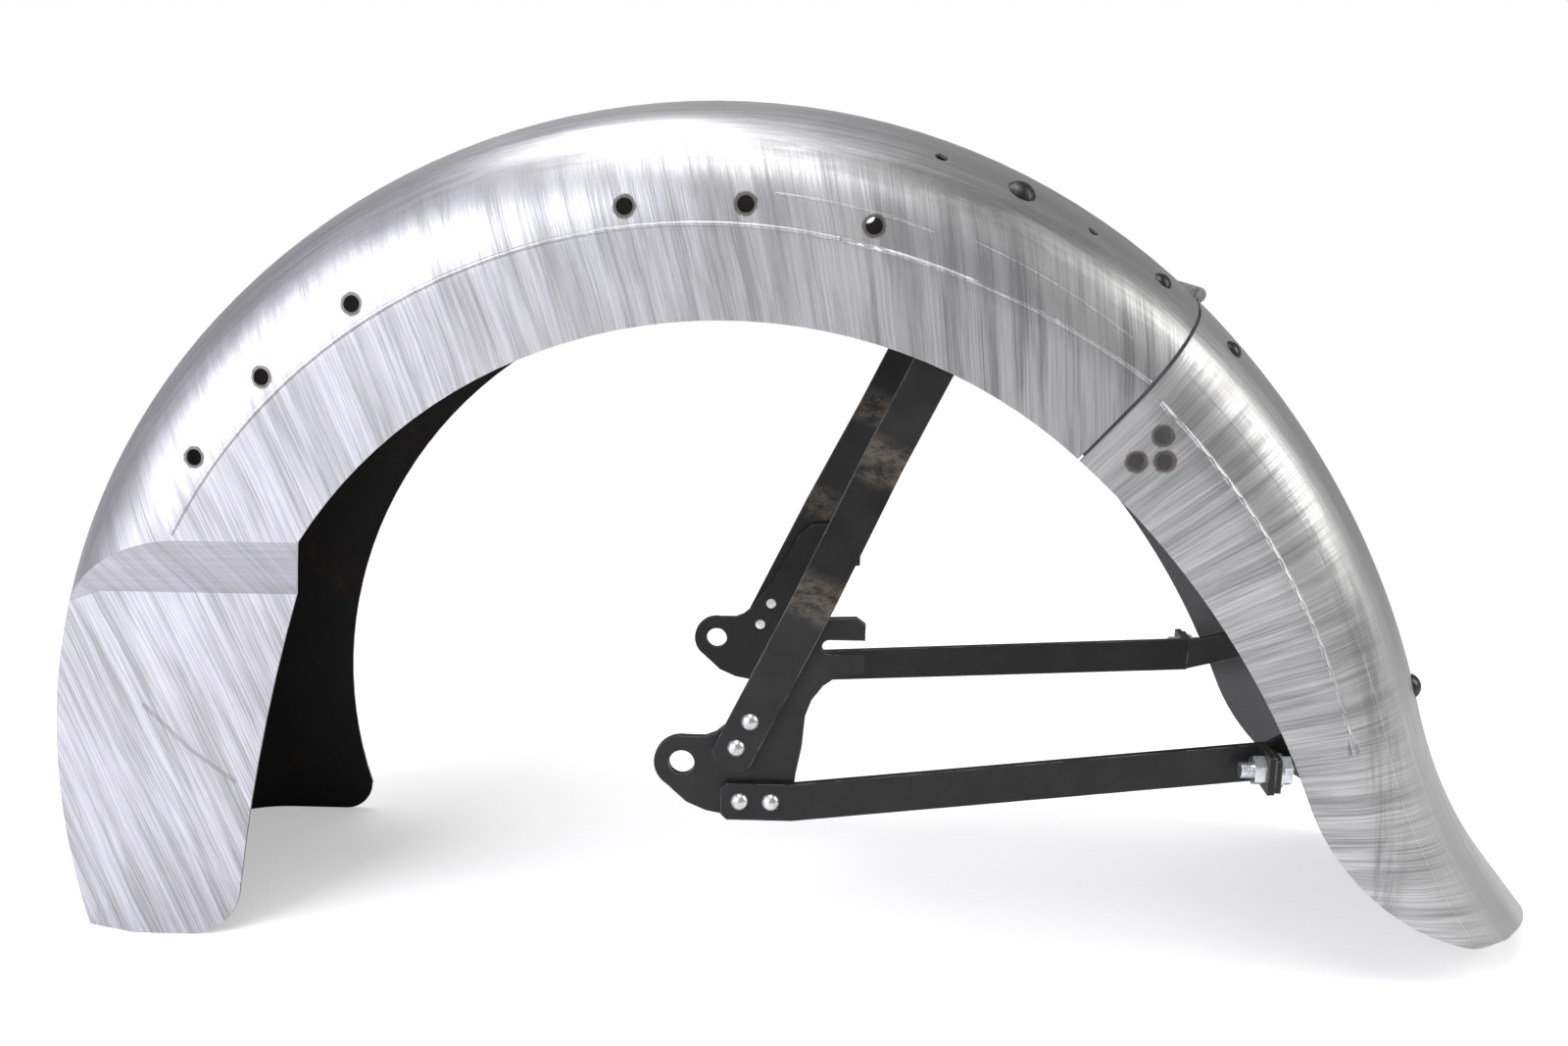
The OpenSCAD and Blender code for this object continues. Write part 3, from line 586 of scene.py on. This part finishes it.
def sheet_finish(name: str, effects: Effects, look: SheetLook, front: bool) -> Finish:
    """Bare brushed steel with grinding scratches, stains and painted shade: darker on the crown,
    along the panel creases and on the hidden side.

    Args:
        name: the material's name.
        effects: the shared groups.
        look: the colours and roughness.
        front: True for the front shell, whose scratches stand nearly upright, whose hidden side
            is painted black as shade and which is painted darker towards the tail; the tail's
            scratches point at the wheel.

    Returns:
        The finish.
    """
    f = Finish(name, Slot.SHEET)
    n = f.n
    coords = n.place()
    x, y, z = n.split(coords)
    place = n.group(effects.sheet_map).outputs
    lean = n.math("MULTIPLY_ADD", x, -0.87, 0.23)
    upright = n.math("SUBTRACT", x, n.math("MULTIPLY", n.math("SUBTRACT", 0.22, z), lean))
    skirt = n.group(effects.grind, Across=upright if front else place["Arc"],
                    Along=z if front else place["Radius"], Y=y, Width=look.line_width,
                    Length=look.line_length, Skew=0.0).outputs
    crown = n.group(effects.grind, Across=y, Along=place["Arc"], Y=place["Radius"],
                    Width=0.0016, Length=0.09, Skew=0.0).outputs
    lines = n.mix(place["Skirt"], crown["Lines"], skirt["Lines"])
    strokes = n.mix(place["Skirt"], crown["Strokes"], skirt["Strokes"])
    amount = n.math("MULTIPLY_ADD", place["Skirt"], 0.62, 0.14)
    dirt = n.ramp(n.noise(coords, 9.0, 6.0, 0.62), 0.42, 0.70)
    share = n.math("MULTIPLY", n.math("MULTIPLY_ADD", strokes, 0.55,
                                      n.math("MULTIPLY", lines, 0.60)), amount)
    # painted shade: the front shell is coloured darker towards the tail, away from the key light
    if front:
        share = n.math("ADD", share, n.ramp(x, 0.02, 0.20, 0.0, 0.24), clamp=True)
    # painted shade: where the sheet turns up into the crown its colour is made darker than on the
    # flat skirts
    share = n.math("ADD", share, n.math("MULTIPLY_ADD", place["Skirt"], -0.26, 0.26), clamp=True)
    tone = n.mix(share, look.bright, look.dark)
    tone = n.mix(n.math("MULTIPLY", n.ramp(x, 0.18, -0.22), 0.65), tone,
                 n.mix(share, look.cool, look.dark))
    tone = n.mix(n.math("MULTIPLY", dirt, 0.22), tone, (0.30, 0.29, 0.29, 1))
    smear = shoulder_smear(n, place, y)
    tone = n.mix(n.math("MULTIPLY", smear, 0.55), tone, (0.17, 0.165, 0.165, 1))
    spots = hole_stains(n, effects, look, place, coords)
    tone = n.mix(n.math("MULTIPLY", spots, 0.9), tone, look.stain)
    # the dark line along each panel crease is wear together with painted shade of the crease
    crease = panel_marks(n, effects, y, "MAXIMUM",
                         tuple((*ends, CREASE_WIDTH) for ends in PANEL_CREASE))
    tone = n.mix(n.math("MULTIPLY", crease, 0.5), tone, (0.22, 0.21, 0.21, 1))
    # painted shade: the hidden side gets a dark colour, black on the front shell and grey on the
    # tail, with rust spots over it
    hidden = look.inside_shade_black if front else look.inside_shade_grey
    rust = n.ramp(n.noise(coords, 26.0, 6.0, 0.7), 0.55, 0.75)
    hidden = n.mix(n.math("MULTIPLY", rust, 0.5), hidden, (0.085, 0.062, 0.045, 1))
    f.set(Base_Color=n.mix(place["Inside"], tone, hidden))
    f.set(Metallic=n.math("SUBTRACT", n.math("MULTIPLY_ADD", place["Inside"], -0.45, 0.96),
                          n.math("MULTIPLY", spots, 0.5), clamp=True))
    rough = n.math("MULTIPLY_ADD", place["Skirt"], look.skirt_rough - look.crown_rough,
                   look.crown_rough)
    rough = n.math("MULTIPLY_ADD", lines, 0.10, rough)
    rough = n.math("MULTIPLY_ADD", dirt, 0.10, rough)
    f.set(Roughness=n.math("MULTIPLY_ADD", place["Inside"], 0.2, rough, clamp=True))
    dents = panel_marks(n, effects, y, "ADD", tuple(
        (px, pz, px + DENT_RUN, pz - DENT_RUN, wide) for px, pz, wide in DENTS))
    height = n.math("MULTIPLY_ADD", dents, -3.0, n.mix(place["Skirt"], crown["Height"],
                                                       skirt["Height"]))
    height = n.math("MULTIPLY_ADD", crease, -2.0, height)
    f.bump(height, 0.00018, 0.55)
    return f


def scuff_share(n: Nodes, coords: bpy.types.NodeSocket,
                scuffs: tuple[float, ...]) -> bpy.types.NodeSocket:
    """The brown scuffs at the bends of the upper stay.

    Args:
        n: the finish's nodes.
        coords: the object coordinates.
        scuffs: their distances along the stay, in metres.

    Returns:
        The scuffs' share.
    """
    a = math.radians(STAY_A)
    x, _, z = n.split(coords)
    along = n.math("ADD", n.math("MULTIPLY", n.math("SUBTRACT", x, STAY_FOOT[0]), math.cos(a)),
                   n.math("MULTIPLY", n.math("SUBTRACT", z, STAY_FOOT[1]), math.sin(a)))
    speck = n.ramp(n.noise(n.vector("MULTIPLY", coords, (1.0, 1.0, 1.6)), 130.0, 6.0, 0.75),
                   0.34, 0.64)
    rub = 0.0
    for place in scuffs:
        off = n.math("ABSOLUTE", n.math("SUBTRACT", along, place))
        rub = n.math("MAXIMUM", rub, n.ramp(off, 0.015, 0.005))
    return n.math("MULTIPLY", rub, speck)


def black_finish(name: str, effects: Effects, scuffs: tuple[float, ...] = ()) -> Finish:
    """Black paint on flat bar, with worn edges.

    Args:
        name: the material's name.
        effects: the shared groups.
        scuffs: distances along the upper stay, in metres, where the bends have worn brown.

    Returns:
        The finish.
    """
    f = Finish(name, Slot.BLACK)
    n = f.n
    coords = n.place()
    haze = n.noise(coords, 45.0, 5.0, 0.6)
    paint = n.mix(n.ramp(haze, 0.35, 0.7), (0.007, 0.007, 0.0075, 1), (0.014, 0.014, 0.0145, 1))
    wear = n.group(effects.wear, Radius=0.0009).outputs[0]
    tone = n.mix(n.math("MULTIPLY", wear, 0.45), paint, (0.42, 0.41, 0.40, 1))
    if scuffs:
        tone = n.mix(n.math("MULTIPLY", scuff_share(n, coords, scuffs), 0.75), tone,
                     (0.120, 0.100, 0.078, 1))
    f.set(Base_Color=tone, Metallic=n.math("MULTIPLY", wear, 0.7))
    f.set(Roughness=n.math("MULTIPLY_ADD", haze, 0.22, 0.34), Coat_Weight=0.04,
          Coat_Roughness=0.25, Specular_IOR_Level=0.32)
    f.bump(n.noise(coords, 900.0, 3.0), 0.00004, 0.5)
    return f


def plain_steel(name: str, slot: Slot, effects: Effects, light: tuple, dark: tuple,
                rough: float, brushed: float) -> Finish:
    """Bright small parts: rivets, bolts, nuts and the hinge.

    Args:
        name: the material's name.
        slot: the record's slot.
        effects: the shared groups.
        light: the clean colour.
        dark: the colour in the dull patches.
        rough: how rough the clean metal is.
        brushed: how wide its scratches are, in metres.

    Returns:
        The finish.
    """
    f = Finish(name, slot)
    n = f.n
    coords = n.place()
    x, y, z = n.split(coords)
    lines = n.group(effects.grind, Across=x, Along=z, Y=y, Width=brushed,
                    Length=brushed * 14, Skew=0.4).outputs
    dull = n.ramp(n.noise(coords, 240.0, 5.0, 0.7), 0.40, 0.68)
    wear = n.group(effects.wear, Radius=0.0005).outputs[0]
    share = n.math("MULTIPLY_ADD", dull, 0.6, n.math("MULTIPLY", lines["Lines"], 0.25))
    tone = n.mix(share, light, dark)
    f.set(Base_Color=n.mix(n.math("MULTIPLY", wear, 0.5), tone, light), Metallic=0.95)
    f.set(Roughness=n.math("MULTIPLY_ADD", dull, 0.18, rough))
    f.bump(lines["Height"], 0.00005, 0.4)
    return f


class Finishes:
    """Every finish of the part."""

    def __init__(self) -> None:
        """Builds the finishes on one set of shared effects."""
        effects = Effects()
        look = SheetLook()
        self.front = sheet_finish("front_sheet", effects, look, True)
        self.tail = sheet_finish("tail_sheet", effects, look, False)
        self.black = black_finish("black_paint", effects)
        self.stay = black_finish("black_paint_scuffed", effects, (0.086, 0.157))
        self.hinge = plain_steel("hinge_leaf", Slot.HINGE, effects, (0.52, 0.52, 0.53, 1),
                                 (0.20, 0.19, 0.19, 1), 0.36, 0.0008)
        self.rivet = plain_steel("rivet_metal", Slot.RIVET, effects, (0.80, 0.80, 0.80, 1),
                                 (0.42, 0.41, 0.40, 1), 0.22, 0.0004)
        self.crown_head = plain_steel("crown_fastener", Slot.BLACK, effects,
                                      (0.075, 0.075, 0.078, 1), (0.03, 0.03, 0.03, 1),
                                      0.30, 0.0005)
        self.zinc = plain_steel("zinc_plate", Slot.ZINC, effects, (0.74, 0.77, 0.80, 1),
                                (0.42, 0.44, 0.45, 1), 0.24, 0.0004)

    def of_node(self, node: str) -> Finish:
        """Picks the finish of a node of the part.

        Args:
            node: the node's name.

        Returns:
            The finish.
        """
        if node == "front_shell":
            return self.front
        if node == "tail_shell":
            return self.tail
        if node == "upper_stay":
            return self.stay
        if node in ("upper_stay_rivets", "tail_brace_rivets", "hinge_rivets_front",
                    "hinge_rivets_rear"):
            return self.crown_head
        if "rivets" in node:
            return self.rivet
        if node.startswith("hinge"):
            return self.hinge
        if node.startswith("clamp"):
            return self.zinc
        return self.black


def paint_frame(frame: dict, finishes: Finishes) -> None:
    """Gives each node of the part its finish.

    Args:
        finishes: the finishes.
    """
    for name, obj in frame["nodes"].items():
        finish = finishes.of_node(name)
        obj.data.materials.clear()
        obj.data.materials.append(finish.material)
        LOG.info("finish %s on %s", finish.material.name, name)


class NodeTool:
    """A Geometry Nodes tree that makes one mesh, with its inputs set by name."""

    def __init__(self, name: str, inputs: dict[str, float]) -> None:
        """Makes the tree with its sockets.

        Args:
            name: the tree's name.
            inputs: each number input and its value.
        """
        self.tree = bpy.data.node_groups.new(name, "GeometryNodeTree")
        self.tree.interface.new_socket("Geometry", in_out="OUTPUT",
                                       socket_type="NodeSocketGeometry")
        self.ids = {}
        for key, value in inputs.items():
            socket = self.tree.interface.new_socket(key, in_out="INPUT",
                                                    socket_type="NodeSocketFloat")
            socket.default_value = value
            self.ids[key] = socket.identifier
        self.n = Nodes(self.tree)
        self.given = self.n.add("NodeGroupInput").outputs
        self.end = self.n.add("NodeGroupOutput")

    def sweep_both(self, curve: bpy.types.NodeSocket, sides: int, thick: bpy.types.NodeSocket,
                   x: object, z: object, turn: tuple) -> bpy.types.NodeSocket:
        """Sweeps a round wire along a curve, on both sides of the part.

        Args:
            curve: the curve.
            sides: how many sides the wire has.
            thick: the wire's radius.
            x: where the curve's origin goes along X.
            z: where it goes along Z.
            turn: the curve's rotation.

        Returns:
            The mesh's socket.
        """
        n = self.n
        ring = n.add("GeometryNodeCurvePrimitiveCircle", mode="RADIUS")
        ring.inputs["Resolution"].default_value = sides
        n.plug(ring.inputs["Radius"], thick)
        both = n.add("GeometryNodeJoinGeometry")
        for sign in (1.0, -1.0):
            place = n.add("GeometryNodeTransform")
            n.plug(place.inputs["Geometry"], curve)
            n.plug(place.inputs["Translation"],
                   n.combine(x, n.math("MULTIPLY", self.given["Half"], sign), z))
            place.inputs["Rotation"].default_value = turn
            self.tree.links.new(place.outputs[0], both.inputs[0])
        sweep = n.add("GeometryNodeCurveToMesh")
        sweep.inputs["Fill Caps"].default_value = True
        n.plug(sweep.inputs["Curve"], both.outputs[0])
        n.plug(sweep.inputs["Profile Curve"], ring.outputs[0])
        return sweep.outputs[0]

    def close(self, geometry: bpy.types.NodeSocket, material: bpy.types.Material) -> None:
        """Ends the tree with Realize Instances and Set Material.

        Args:
            geometry: the finished geometry.
            material: the material it gets.
        """
        real = self.n.add("GeometryNodeRealizeInstances")
        self.n.plug(real.inputs[0], geometry)
        dressed = self.n.add("GeometryNodeSetMaterial")
        self.n.plug(dressed.inputs["Geometry"], real.outputs[0])
        dressed.inputs["Material"].default_value = material
        self.n.plug(self.end.inputs[0], dressed.outputs[0])

    def mesh(self, name: str, **values: float) -> bpy.types.Object:
        """Runs the tree and keeps its result as a plain mesh object.

        Args:
            name: the new object's name.
            **values: inputs by name, with underscores for spaces.

        Returns:
            The mesh object, at the origin.
        """
        carrier = bpy.data.objects.new(name + "_source", bpy.data.meshes.new(name + "_source"))
        bpy.context.scene.collection.objects.link(carrier)
        modifier = carrier.modifiers.new("nodes", "NODES")
        modifier.node_group = self.tree
        for key, value in values.items():
            modifier[self.ids[key.replace("_", " ")]] = float(value)
        bpy.context.view_layer.update()
        graph = bpy.context.evaluated_depsgraph_get()
        mesh = bpy.data.meshes.new_from_object(carrier.evaluated_get(graph), depsgraph=graph)
        mesh.name = name
        bpy.data.objects.remove(carrier)
        obj = bpy.data.objects.new(name, mesh)
        bpy.context.scene.collection.objects.link(obj)
        return obj


def ridge_tool(material: bpy.types.Material) -> NodeTool:
    """A low rounded ridge that follows an arc on both skirts.

    Args:
        material: the ridge's material.

    Returns:
        The tool, in metres and degrees.
    """
    tool = NodeTool("ridge", {"Centre X": 0, "Centre Z": 0, "Radius": 0.3, "Start": 0.5,
                              "Sweep": 0.5, "Half": HALF_W, "Width": 0.0007})
    n, g = tool.n, tool.given
    arc = n.add("GeometryNodeCurveArc", mode="RADIUS")
    arc.inputs["Resolution"].default_value = 96
    n.plug(arc.inputs["Radius"], g["Radius"])
    n.plug(arc.inputs["Start Angle"], g["Start"])
    n.plug(arc.inputs["Sweep Angle"], g["Sweep"])
    ridge = tool.sweep_both(arc.outputs[0], 10, g["Width"], g["Centre X"], g["Centre Z"],
                            (math.pi / 2, 0, 0))
    smooth = n.add("GeometryNodeSetShadeSmooth")
    n.plug(smooth.inputs[0], ridge)
    tool.close(smooth.outputs[0], material)
    return tool


def thread_tool(material: bpy.types.Material) -> NodeTool:
    """A screw thread's ridge along +X on two studs, one each side.

    Args:
        material: the thread's material.

    Returns:
        The tool, in metres.
    """
    tool = NodeTool("thread", {"Start X": 0, "Length": 0.006, "Radius": 0.004, "Turns": 5,
                               "Depth": 0.0004, "Half": HALF_W})
    n, g = tool.n, tool.given
    spiral = n.add("GeometryNodeCurveSpiral")
    spiral.inputs["Resolution"].default_value = 28
    n.plug(spiral.inputs["Rotations"], g["Turns"])
    n.plug(spiral.inputs["Start Radius"], g["Radius"])
    n.plug(spiral.inputs["End Radius"], g["Radius"])
    n.plug(spiral.inputs["Height"], g["Length"])
    thread = tool.sweep_both(spiral.outputs[0], 6, g["Depth"], g["Start X"], 0.0,
                             (0, math.pi / 2, 0))
    tool.close(thread, material)
    return tool


@dataclass
class Creases:
    """The fine rolled lines above the bead; the tail's runs on along the flare.

    Each of the front shell's is a radius in millimetres, with the angles where it starts and
    ends. A line is sunk into the sheet by the share in sink of its width.
    """

    front: tuple = ((320.3, 70.5, 84.0), (323.5, 51.5, 67.0))
    tail_depth: float = 35.5
    seam_gap: float = 1.5
    flare_sweep: float = 20.5
    width: float = 0.0008
    sink: float = 0.45

    def half_at(self, depth: float) -> float:
        """Finds the shell's half width at a depth under the crown.

        Args:
            depth: the depth in metres.

        Returns:
            The half width in metres.
        """
        fall = SHOULDER_DEPTH - depth
        if fall <= 0:
            return HALF_W
        return SHOULDER_Y + math.sqrt(max(SHOULDER_R ** 2 - fall ** 2, 0.0))

    def build(self, finishes: Finishes) -> None:
        """Makes the lines on both shells.

        Args:
            finishes: the finishes.
        """
        tool = ridge_tool(finishes.front.material)
        for i, (radius, low, high) in enumerate(self.front):
            piece = tool.mesh(f"front_crease_{i + 1}", Centre_X=CROWN_CENTRE[0],
                              Centre_Z=CROWN_CENTRE[1], Radius=radius * MM,
                              Start=math.radians(low), Sweep=math.radians(high - low),
                              Half=self.half_at(CROWN_R - radius * MM) - self.width * self.sink,
                              Width=self.width)
            place_piece(piece, "front")
        tool = ridge_tool(finishes.tail.material)
        depth = self.tail_depth * MM
        half = self.half_at(depth) - self.width * self.sink
        piece = tool.mesh("tail_crease", Centre_X=TAIL_CENTRE[0], Centre_Z=TAIL_CENTRE[1],
                          Radius=TAIL_R - depth, Start=math.radians(FLARE_A),
                          Sweep=math.radians(SEAM_A - self.seam_gap - FLARE_A),
                          Half=half, Width=self.width)
        place_piece(piece, "tail")
        piece = tool.mesh("flare_crease", Centre_X=FLARE_CENTRE[0], Centre_Z=FLARE_CENTRE[1],
                          Radius=FLARE_R + depth, Start=math.radians(FLARE_A + 180),
                          Sweep=math.radians(self.flare_sweep), Half=half, Width=self.width)
        place_piece(piece, "tail")


def place_piece(obj: bpy.types.Object, body: str) -> None:
    """Hangs a piece on its body and logs its faces and box.

    Args:
        obj: the piece.
        body: the body that it moves with.
    """
    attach(obj, body)
    box = [tuple(round(v, 4) for v in corner) for corner in (obj.bound_box[0], obj.bound_box[6])]
    LOG.info("piece %s: %d faces on %s, box %s", obj.name, len(obj.data.polygons), body, box)


@dataclass
class StudThreads:
    """The cut threads on the two clamp bolts, where they stand out of the nuts."""

    radius: float = 0.00395
    pitch: float = 0.00125
    depth: float = 0.00028
    sink: float = 0.4
    end_gap: float = 0.0004

    def build(self, finishes: Finishes) -> None:
        """Makes the threads.

        Args:
            finishes: the finishes.
        """
        low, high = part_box("clamp_bolt_left")
        nut_low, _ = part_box("clamp_nut_left")
        length = nut_low.x - low.x - 2 * self.end_gap
        tool = thread_tool(finishes.zinc.material)
        piece = tool.mesh("clamp_threads", Start_X=low.x + self.end_gap, Length=length,
                          Radius=self.radius - self.depth * self.sink, Turns=length / self.pitch,
                          Depth=self.depth, Half=abs((low.y + high.y) / 2))
        place_piece(piece, "tail")


@dataclass(frozen=True)
class Softbox:
    """One soft light."""

    name: str
    place: tuple
    target: tuple
    wide: float
    high: float
    power: float
    colour: tuple = (1.0, 1.0, 1.0)

    def build(self) -> None:
        """Makes the light, turned to its target."""
        data = bpy.data.lights.new(self.name, "AREA")
        data.shape = "RECTANGLE"
        data.size, data.size_y = self.wide, self.high
        data.energy, data.color = self.power, self.colour
        lamp = bpy.data.objects.new(self.name, data)
        bpy.context.scene.collection.objects.link(lamp)
        lamp.location = self.place
        aim = Vector(self.target) - Vector(self.place)
        lamp.rotation_mode = "QUATERNION"
        lamp.rotation_quaternion = aim.to_track_quat("-Z", "Y")


@dataclass
class Studio:
    """The camera, the lights, the floor and the white surroundings."""

    camera_at: tuple = (0.07727, -0.78969, 0.28313)
    right: tuple = (0.99914, 0.04094, 0.00699)
    up: tuple = (-0.01608, 0.22631, 0.97392)
    forward: tuple = (-0.03829, 0.97319, -0.22677)
    lens: float = 33.75
    target: tuple = (0.05, 0.0, 0.05)
    ambient: float = 0.34
    floor_size: float = 30.0
    floor_glow: float = 0.42
    floor_fade: tuple = (0.6, 1.3)

    def build(self) -> None:
        """Sets up the whole studio."""
        self.build_camera()
        self.build_world()
        self.build_floor()
        for box in (
            Softbox("key_left", (-1.15, -1.15, 0.75), self.target, 1.2, 1.0, 30.0,
                    (0.95, 0.95, 1.0)),
            Softbox("top", (-0.15, -0.1, 1.6), self.target, 1.7, 0.7, 17.0),
            Softbox("right", (1.6, -0.3, 0.9), self.target, 0.5, 1.2, 9.0, (1.0, 0.99, 0.96)),
        ):
            box.build()
        bpy.context.scene.view_settings.view_transform = "Standard"
        LOG.info("studio ready")

    def build_camera(self) -> None:
        """Puts the camera where the photographer stood."""
        data = bpy.data.cameras.new("camera")
        data.sensor_width, data.lens = 36.0, self.lens
        data.clip_start, data.clip_end = 0.01, 100.0
        camera = bpy.data.objects.new("camera", data)
        bpy.context.scene.collection.objects.link(camera)
        right, up, back = Vector(self.right), Vector(self.up), -Vector(self.forward)
        turn = Matrix((right, up, back)).transposed().to_4x4()
        camera.matrix_world = Matrix.Translation(self.camera_at) @ turn
        bpy.context.scene.camera = camera

    def build_world(self) -> None:
        """White behind the object, and a dimmer white that lights it."""
        world = bpy.data.worlds.new("studio")
        bpy.context.scene.world = world
        world.use_nodes = True
        n = Nodes(world.node_tree)
        back = world.node_tree.nodes["Background"]
        seen = n.add("ShaderNodeLightPath").outputs["Is Camera Ray"]
        n.plug(back.inputs["Color"], (1.0, 1.0, 1.0, 1.0))
        n.plug(back.inputs["Strength"], n.math("MULTIPLY_ADD", seen, 1.0 - self.ambient,
                                               self.ambient))

    def build_floor(self) -> None:
        """A pale floor that fades into the white and keeps the object's shadow."""
        size = self.floor_size
        mesh = bpy.data.meshes.new("floor")
        mesh.from_pydata([(-size, -size, FLOOR_Z), (size, -size, FLOOR_Z), (size, size, FLOOR_Z),
                          (-size, size, FLOOR_Z)], [], [(0, 1, 2, 3)])
        floor = bpy.data.objects.new("floor", mesh)
        bpy.context.scene.collection.objects.link(floor)
        material = bpy.data.materials.new("floor")
        material.use_nodes = True
        n = Nodes(material.node_tree)
        shader = material.node_tree.nodes["Principled BSDF"]
        shader.inputs["Base Color"].default_value = (0.92, 0.92, 0.92, 1)
        shader.inputs["Roughness"].default_value = 0.9
        shader.inputs["Specular IOR Level"].default_value = 0.1
        seen = n.add("ShaderNodeLightPath").outputs["Is Camera Ray"]
        shader.inputs["Emission Color"].default_value = (1.0, 1.0, 1.0, 1.0)
        n.plug(shader.inputs["Emission Strength"], n.math("MULTIPLY", seen, self.floor_glow))
        glow = n.add("ShaderNodeEmission")
        far = n.vector("LENGTH", n.place(), out=1)
        fade = n.math("MULTIPLY", n.ramp(far, *self.floor_fade), seen)
        blend = n.add("ShaderNodeMixShader")
        n.plug(blend.inputs[0], fade)
        n.plug(blend.inputs[1], shader.outputs[0])
        n.plug(blend.inputs[2], glow.outputs[0])
        n.plug(material.node_tree.nodes["Material Output"].inputs["Surface"], blend.outputs[0])
        mesh.materials.append(material)


def main() -> None:
    """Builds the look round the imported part."""
    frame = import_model()
    finishes = Finishes()
    paint_frame(frame, finishes)
    Creases().build(finishes)
    StudThreads().build(finishes)
    Studio().build()


if __name__ == "__main__":
    main()
